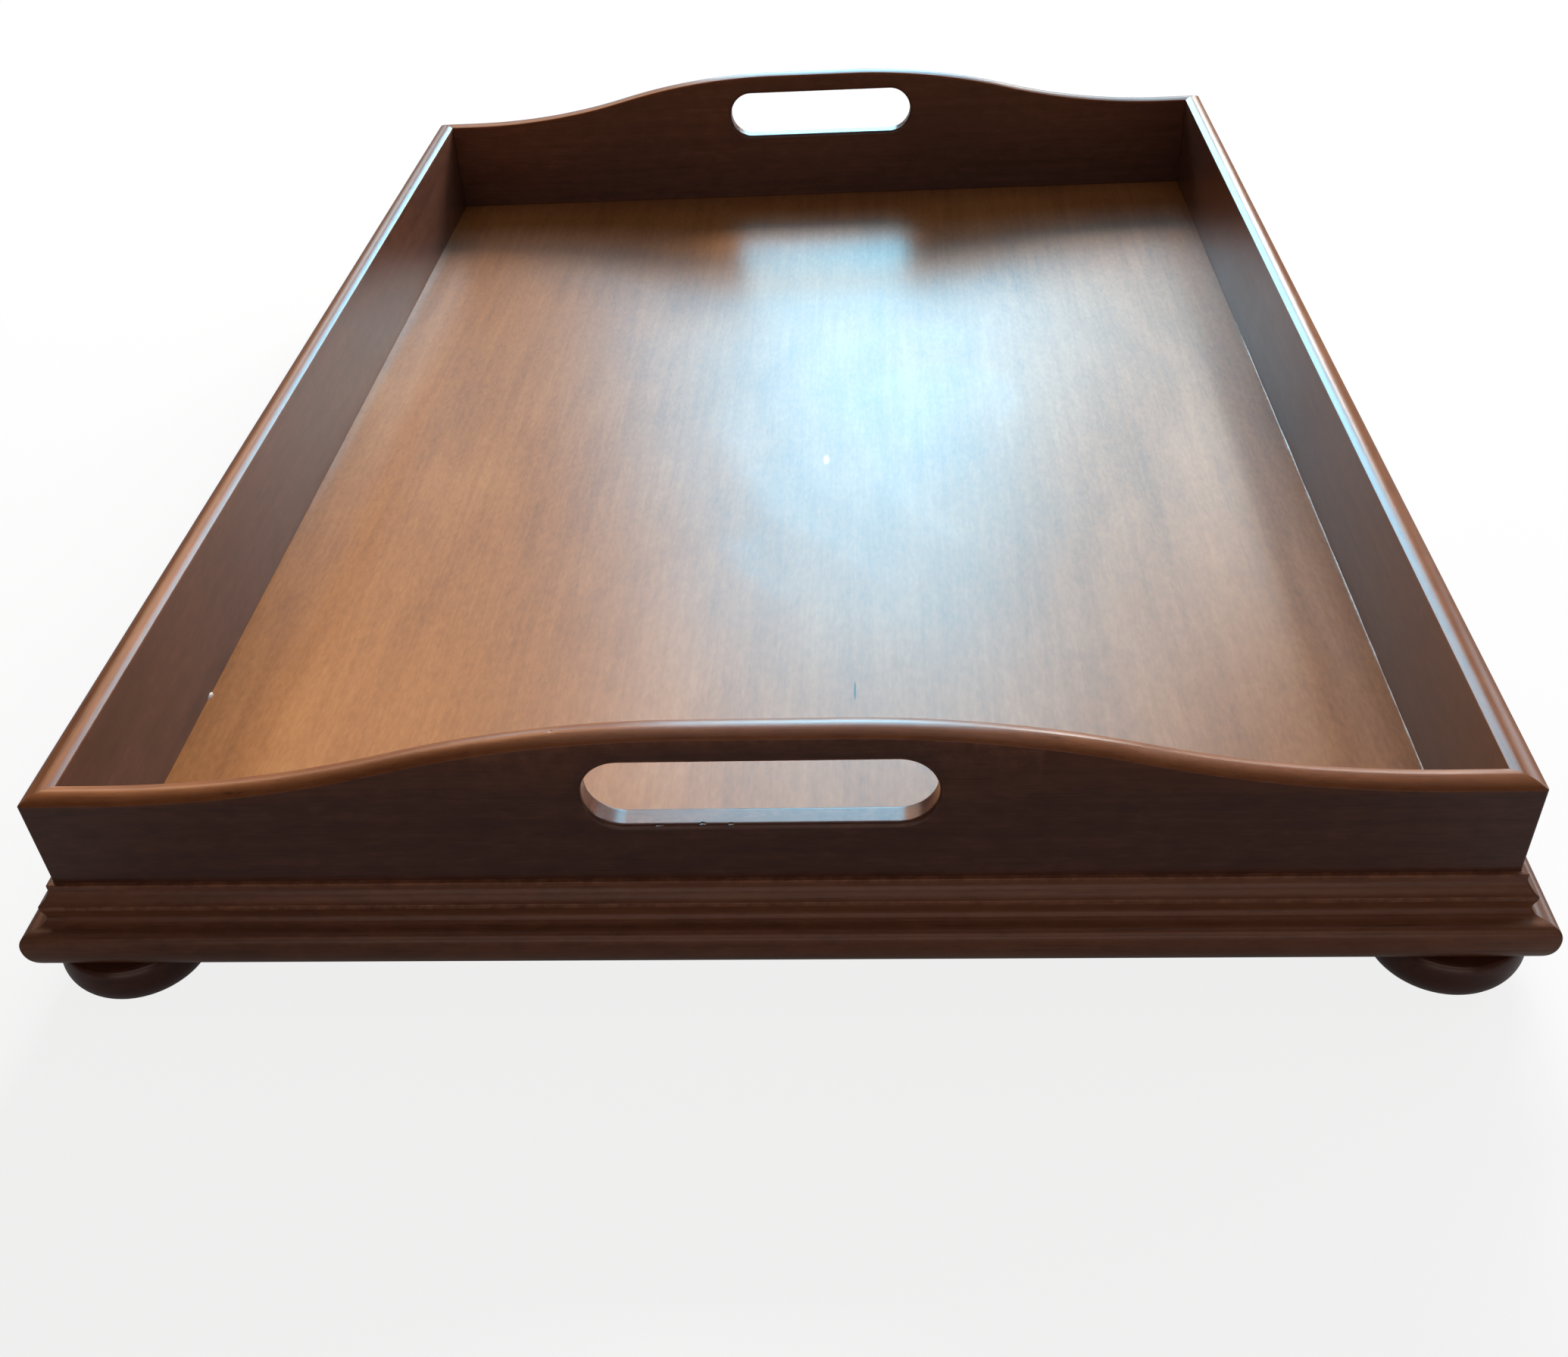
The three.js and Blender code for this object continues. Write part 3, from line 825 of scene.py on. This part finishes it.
class Nodes:
    """Short calls for building a material's or the world's shader. Colours are red, green and blue."""

    def __init__(self, tree):
        tree.nodes.clear()
        self.tree = tree

    def add(self, kind, inputs=None, **settings):
        node = self.tree.nodes.new(kind)
        for key, value in settings.items():
            setattr(node, key, value)
        for key, value in (inputs or {}).items():
            self.set(node.inputs[key], value)
        return node

    def set(self, socket, value):
        if isinstance(value, bpy.types.NodeSocket):
            self.tree.links.new(value, socket)
        elif socket.type == "RGBA":
            socket.default_value = (*value, 1.0)
        else:
            socket.default_value = value

    def place(self):
        return self.add("ShaderNodeTexCoord").outputs["Object"]

    def attribute(self, name):
        return self.add("ShaderNodeAttribute", attribute_name=name).outputs["Fac"]

    def math(self, operation, a, b=0.0):
        return self.add("ShaderNodeMath", {0: a, 1: b}, operation=operation).outputs[0]

    def times(self, a, b):
        return self.math("MULTIPLY", a, b)

    def total(self, first, *others):
        for other in others:
            first = self.math("ADD", first, other)
        return first

    def vector(self, operation, a, b=(0.0, 0.0, 0.0)):
        return self.add("ShaderNodeVectorMath", {0: a, 1: b}, operation=operation)

    def scaled(self, vector, scale):
        return self.vector("MULTIPLY", vector, scale).outputs[0]

    def length(self, vector):
        return self.vector("LENGTH", vector).outputs["Value"]

    def split(self, vector):
        return self.add("ShaderNodeSeparateXYZ", {"Vector": vector}).outputs

    def span(self, value, low, high, to_low=0.0, to_high=1.0):
        inputs = {"Value": value, "From Min": low, "From Max": high, "To Min": to_low, "To Max": to_high}
        return self.add("ShaderNodeMapRange", inputs).outputs["Result"]

    def noise(self, vector, scale, detail=3.0, roughness=0.5, distortion=0.0):
        inputs = {"Vector": vector, "Scale": scale, "Detail": detail, "Roughness": roughness,
                  "Distortion": distortion}
        return self.add("ShaderNodeTexNoise", inputs).outputs["Fac"]

    def ramp(self, value, stops):
        node = self.add("ShaderNodeValToRGB", {"Fac": value})
        elements = node.color_ramp.elements
        while len(elements) < len(stops):
            elements.new(1.0)
        for element, (position, colour) in zip(elements, stops):
            element.position = position
            element.color = (*colour, 1.0)
        return node.outputs["Color"]

    def mix(self, factor, a, b):
        node = self.add("ShaderNodeMix", {0: factor, 6: a, 7: b}, data_type="RGBA")
        return node.outputs[2]

    def bump(self, height, distance, normal=None):
        inputs = {"Height": height, "Distance": distance}
        if normal is not None:
            inputs["Normal"] = normal
        return self.add("ShaderNodeBump", inputs).outputs["Normal"]

    def blend(self, share, a, b):
        return self.add("ShaderNodeMixShader", {0: share, 1: a, 2: b})

    def finish(self, shader, output="ShaderNodeOutputMaterial"):
        self.tree.links.new(shader.outputs[0], self.add(output).inputs[0])


def new_material(name):
    material = bpy.data.materials.new(name)
    material.use_nodes = True
    return material, Nodes(material.node_tree)


def stain(n, tone, tones):
    """The colour for a tone of the grain, from the darkest of the tones to the lightest."""
    step = TONE_RANGE / (len(tones) - 1)
    return n.ramp(tone, [(DARKEST_AT + i * step, colour) for i, colour in enumerate(tones)])


def with_wear_and_shade(n, colour, place, lightest):
    """A wood's colour with the stain rubbed light on its edges, and painted shade darkening its inner
    corners.
    """
    wear_and_shade = n.attribute("wear_and_shade")
    broken = n.span(n.noise(place, *RUBBED_NOISE), *RUBBED_NOISE_RANGE)
    rubbed = n.times(n.span(wear_and_shade, *RUBBED_RANGE), broken)
    edge_marks = tuple(min(1.0, channel * RUBBED_SHADE) for channel in lightest)
    colour = n.mix(n.times(rubbed, RUBBED_SHARE), colour, edge_marks)
    # Painted shade: the sharp inner corners are darkened, where shade falls.
    crevice_shade = n.span(wear_and_shade, *CREVICE_SHADE_RANGE)
    return n.mix(n.times(crevice_shade, CREVICE_SHADE_SHARE), colour, CREVICE_SHADE_COLOUR)


def with_marks(n, colour, film, place):
    """The floor's colour and its lacquer's normal with what use has left on them."""
    polish = swirl_marks(n, place)
    film = n.bump(polish, WIPING_RISE, film)
    film = n.bump(lacquer_rise(n, place), LACQUER_RISE, film)
    colour = n.mix(n.times(polish, WIPING_HAZE), colour, HAZE_COLOUR)
    colour = n.mix(patch(n, place, *PAINT_SPECK), colour, PAINT_COLOUR)
    return n.mix(patch(n, place, *DARK_SCRATCH), colour, SCRATCH_COLOUR), film


def wood(name, tones, axis=0, rough=0.34, lacquer=1.0, pores=0.5, grain=WALL_GRAIN, lit_rim_tones=None,
         used_floor=False):
    """Stained and lacquered wood, its grain along an axis and its tones from dark to light."""
    material, n = new_material(name)
    own_place = n.place()
    location = n.add("ShaderNodeObjectInfo").outputs["Location"]
    place = n.vector("ADD", own_place, n.scaled(location, PIECE_SHIFT)).outputs[0]

    def drawn_out(stretch, *settings):
        scale = tuple(stretch if i == axis else 1.0 for i in range(3))
        return n.noise(n.scaled(place, scale), *settings)

    figure = [drawn_out(*settings) for settings, _ in grain]
    tone = n.total(*[n.times(part, share) for part, (_, share) in zip(figure, grain)])
    _, streaks, mottle, flecks = figure
    colour = stain(n, tone, tones)
    # Painted light: the walls' rounded tops take lighter tones, where light falls on them.
    if lit_rim_tones:
        colour = n.mix(n.attribute("lit_rim"), colour, stain(n, tone, lit_rim_tones))
    pore = n.span(drawn_out(*PORE_LINES), *PORE_RANGE)
    pore_colour = tuple(channel * PORE_SHADE for channel in tones[0])
    colour = n.mix(n.times(pore, pores), colour, pore_colour)
    colour = with_wear_and_shade(n, colour, place, tones[-1])

    smears = n.span(n.noise(place, *SMEAR_NOISE), *SMEAR_RANGE)
    roughness = n.total(rough, smears, n.times(mottle, MOTTLE_ROUGHNESS))
    relief = n.total(
        n.times(streaks, STREAK_RELIEF),
        n.times(flecks, FLECK_RELIEF),
        n.times(pore, PORE_RELIEF),
    )
    waves = drawn_out(*LACQUER_WAVES)
    film = n.bump(waves, LACQUER_WAVE_HEIGHT)
    normal = n.bump(waves, LACQUER_WAVE_HEIGHT, n.bump(relief, GRAIN_RELIEF))
    if used_floor:
        colour, film = with_marks(n, colour, film, own_place)
    n.finish(n.add("ShaderNodeBsdfPrincipled", {
        "Base Color": colour,
        "Roughness": roughness,
        "Normal": normal,
        "IOR": WOOD_IOR,
        "Specular IOR Level": STAIN_GLOSS if lacquer else BARE_GLOSS,
        "Coat Weight": lacquer,
        "Coat Roughness": LACQUER_ROUGHNESS,
        "Coat IOR": WOOD_IOR,
        "Coat Normal": film,
    }))
    return material


def floor_offset(n, place, x, y):
    """The way from a point on the floor, given in millimetres."""
    return n.vector("SUBTRACT", place, (x * MM, y * MM, FLOOR_TOP)).outputs[0]


def swirl(n, place, x, y, radius, width, first, last):
    """One stroke of a cloth: 1 along an arc about (x, y), falling to 0 beside it and at its ends."""
    way = n.split(floor_offset(n, place, x, y))
    east, north = way["X"], way["Y"]
    reach = n.math("SQRT", n.total(n.times(east, east), n.times(north, north)))
    drift = n.span(n.noise(place, *DRIFT_NOISE), *DRIFT_RANGE)
    off = n.math("DIVIDE", n.total(reach, -radius * MM, drift), width * MM)
    stroke = n.math("POWER", math.e, n.times(n.times(off, off), -1.0))
    middle = math.radians((first + last) / 2)
    half = math.radians(last - first) / 2
    facing = n.total(n.times(east, math.cos(middle)), n.times(north, math.sin(middle)))
    cosine = n.math("DIVIDE", facing, n.math("MAXIMUM", reach, 1 * MM))
    return n.times(stroke, n.span(cosine, *[math.cos(half * share) for share in SWIRL_ENDS]))


def swirl_marks(n, place):
    """Faint broad strokes left by wiping in circles."""
    strokes = n.total(*[swirl(n, place, *numbers) for numbers in SWIRLS])
    return n.times(strokes, n.span(n.noise(place, *FIBRE_NOISE), *FIBRE_RANGE))


def lacquer_rise(n, place):
    """How far the lacquer has crept up in the floor's left edge, from 0 to 1."""
    way = n.split(place)
    edge = -HALF_WIDTH + WALL
    rise = n.span(way["X"], edge + LACQUER_RISE_WIDTH, edge)
    return n.times(n.times(rise, rise), n.span(way["Y"], *LACQUER_RISE_FADE))


def patch(n, place, x, y, long_x, long_y):
    """A small mark on the floor: 1 inside an ellipse about (x, y), in millimetres, and 0 outside."""
    shape = n.scaled(floor_offset(n, place, x, y), (1 / (long_x * MM), 1 / (long_y * MM), 0.0))
    return n.span(n.length(shape), *PATCH_EDGE)


def steel(name):
    """Yellow-passivated steel, slightly dull and uneven."""
    material, n = new_material(name)
    place = n.place()
    tints = [(0.3, (0.36, 0.32, 0.22)), (0.6, (0.62, 0.58, 0.45)), (0.8, (0.5, 0.42, 0.3))]
    n.finish(n.add("ShaderNodeBsdfPrincipled", {
        "Base Color": n.ramp(n.noise(place, 900.0, 4.0, 0.6), tints),
        "Roughness": n.span(n.noise(place, 1800.0, 3.0), 0.3, 0.7, 0.22, 0.45),
        "Normal": n.bump(n.noise(place, 2500.0, 2.0), 0.01 * MM),
        "Metallic": 1.0,
    }))
    return material


def dried_glue(name):
    """Pale, slightly clouded glue."""
    material, n = new_material(name)
    place = n.place()
    tints = [(0.3, (0.5, 0.38, 0.3)), (0.7, (0.85, 0.78, 0.72))]
    n.finish(n.add("ShaderNodeBsdfPrincipled", {
        "Base Color": n.ramp(n.noise(place, 400.0, 4.0, 0.6), tints),
        "Roughness": n.span(n.noise(place, 900.0, 2.0), 0.3, 0.7, 0.25, 0.45),
        "Normal": n.bump(n.noise(place, 1500.0, 3.0), 0.03 * MM),
    }))
    return material


def dress(node, material):
    """Gives a CAD node that stays its material."""
    for slot in node.material_slots:
        slot.link = "OBJECT"
        slot.material = material


# Stage, light and camera

def ground():
    """A pale ground that keeps the tray's shadow.

    The camera sees it nearly white, and wholly so away from the tray. It is less white in
    reflections, as the tray stood in a dim room.
    """
    signs = ((-1, -1), (1, -1), (1, 1), (-1, 1))
    corners = [(x * GROUND_REACH, y * GROUND_REACH, GROUND_LEVEL) for x, y in signs]
    mesh = bpy.data.meshes.new("ground")
    mesh.from_pydata(corners, [], [(0, 1, 2, 3)])
    piece = link("ground", mesh)
    material, n = new_material("pale_ground")
    rays = n.add("ShaderNodeLightPath").outputs
    mirrored = n.math("MAXIMUM", rays["Is Glossy Ray"], rays["Is Transmission Ray"])
    seen = n.math("MAXIMUM", rays["Is Camera Ray"], n.times(mirrored, GROUND_IN_REFLECTIONS))
    matt = n.add("ShaderNodeBsdfDiffuse", {"Color": n.mix(seen, GROUND_COLOUR, WHITE)}).outputs[0]
    white = n.add("ShaderNodeEmission", {"Color": WHITE, "Strength": 1.0}).outputs[0]
    glow = n.span(n.length(n.place()), SHADOW_REACH, 2 * SHADOW_REACH, GROUND_GLOW, 1.0)
    n.finish(n.blend(n.times(seen, glow), matt, white))
    mesh.materials.append(material)


def sky():
    """A dim even light from all round, and white where the camera looks past the ground."""
    world = bpy.data.worlds.new("studio")
    bpy.context.scene.world = world
    world.use_nodes = True
    n = Nodes(world.node_tree)
    rays = n.add("ShaderNodeLightPath").outputs
    light = n.add("ShaderNodeBackground", {"Color": WHITE, "Strength": WORLD_LIGHT}).outputs[0]
    white = n.add("ShaderNodeBackground", {"Color": WHITE, "Strength": 1.0}).outputs[0]
    n.finish(n.blend(rays["Is Camera Ray"], light, white), "ShaderNodeOutputWorld")


def softbox(name, azimuth, elevation, distance, width, height, radiance, part):
    """A lamp that faces the tray. Azimuth 0 is beyond the back end, and 90 is to the right."""
    data = bpy.data.lights.new(name, "AREA")
    data.shape = "RECTANGLE"
    data.size = width
    data.size_y = height
    strongest = max(radiance)
    data.energy = strongest * math.pi * width * height
    data.color = tuple(channel / strongest for channel in radiance)
    lamp = link(name, data)
    turn = math.radians(azimuth)
    rise = math.radians(elevation)
    level = math.cos(rise)
    away = Vector((math.sin(turn) * level, math.cos(turn) * level, math.sin(rise)))
    lamp.location = away * distance
    lamp.rotation_mode = "QUATERNION"
    lamp.rotation_quaternion = away.to_track_quat("Z", "Y")
    lamp.visible_camera = False
    lamp.visible_diffuse = part != "gloss"
    lamp.visible_glossy = part != "matt"


def camera():
    """The camera that took the photograph."""
    data = bpy.data.cameras.new("camera")
    data.sensor_width = SENSOR_WIDTH
    data.lens = FOCAL_LENGTH * SENSOR_WIDTH / PICTURE_WIDTH
    data.shift_y = CENTRE_RISE / PICTURE_WIDTH
    data.clip_start = CLIP_START
    data.clip_end = CLIP_END
    yaw, pitch, roll = (math.radians(angle) for angle in (YAW, PITCH, ROLL))
    level = math.cos(pitch)
    forward = Vector((math.sin(yaw) * level, math.cos(yaw) * level, -math.sin(pitch)))
    right = Vector((math.cos(yaw), -math.sin(yaw), 0))
    up = right.cross(forward)
    level_right = right * math.cos(roll) + up * math.sin(roll)
    level_up = up * math.cos(roll) - right * math.sin(roll)
    axes = Matrix((level_right, level_up, -forward)).transposed().to_4x4()
    spot = Vector(CAMERA_PLACE) * MM + Vector((0, 0, FOOT_TOP))
    item = link("camera", data)
    item.matrix_world = Matrix.Translation(spot) @ axes
    bpy.context.scene.camera = item


# The scene

# The walls; the lighter tones of their rounded tops are painted light.
wall_wood = wood(
    "wall_wood",
    [(0.054, 0.022, 0.016), (0.113, 0.049, 0.036), (0.195, 0.089, 0.06)],
    lacquer=0.9,
    lit_rim_tones=[(0.17, 0.052, 0.017), (0.29, 0.095, 0.029), (0.41, 0.15, 0.05)],
)
# The moulding: the walls' stain made lighter, painted light that makes up for the dim light on its front
# faces.
moulding_wood = wood(
    "moulding_wood",
    [(0.12, 0.05, 0.028), (0.24, 0.1, 0.054), (0.33, 0.15, 0.085)],
    lacquer=0.8,
)
floor_wood = wood(
    "floor_wood",
    [(0.26, 0.094, 0.024), (0.4, 0.156, 0.042), (0.51, 0.227, 0.072)],
    axis=1,
    lacquer=0.6,
    pores=0.12,
    grain=FLOOR_GRAIN,
    used_floor=True,
)
foot_wood = wood("foot_wood", [(0.045, 0.017, 0.012), (0.095, 0.035, 0.024), (0.15, 0.058, 0.038)])
bare_wood = wood(
    "bare_wood",
    [(0.42, 0.26, 0.13), (0.58, 0.4, 0.22), (0.7, 0.52, 0.32)],
    rough=0.6,
    lacquer=0.0,
    pores=0.25,
)
screw_steel = steel("screw_steel")
glue = dried_glue("dried_glue")

for place, kind, half, turn, at in SIDES:
    wall(place, kind, half, turn, at, wall_wood)
    moulding(place, half, turn, at, moulding_wood)

for place, sx, sy in CORNERS:
    centre = Vector((sx * abs(FOOT_CENTRE.x), sy * abs(FOOT_CENTRE.y), 0))
    foot(place, centre, foot_wood)
    screw(place, centre, screw_steel)
    corner_block(place, sx, sy, bare_wood)
    dress(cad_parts[f"mitre_spline_{place}"], bare_wood)

dress(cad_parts["tray_floor"], floor_wood)

for numbers in BEADS:
    bead(*numbers, glue)

ground()
sky()
for lamp in LAMPS:
    softbox(*lamp)
camera()
bpy.context.scene.view_settings.view_transform = "Standard"
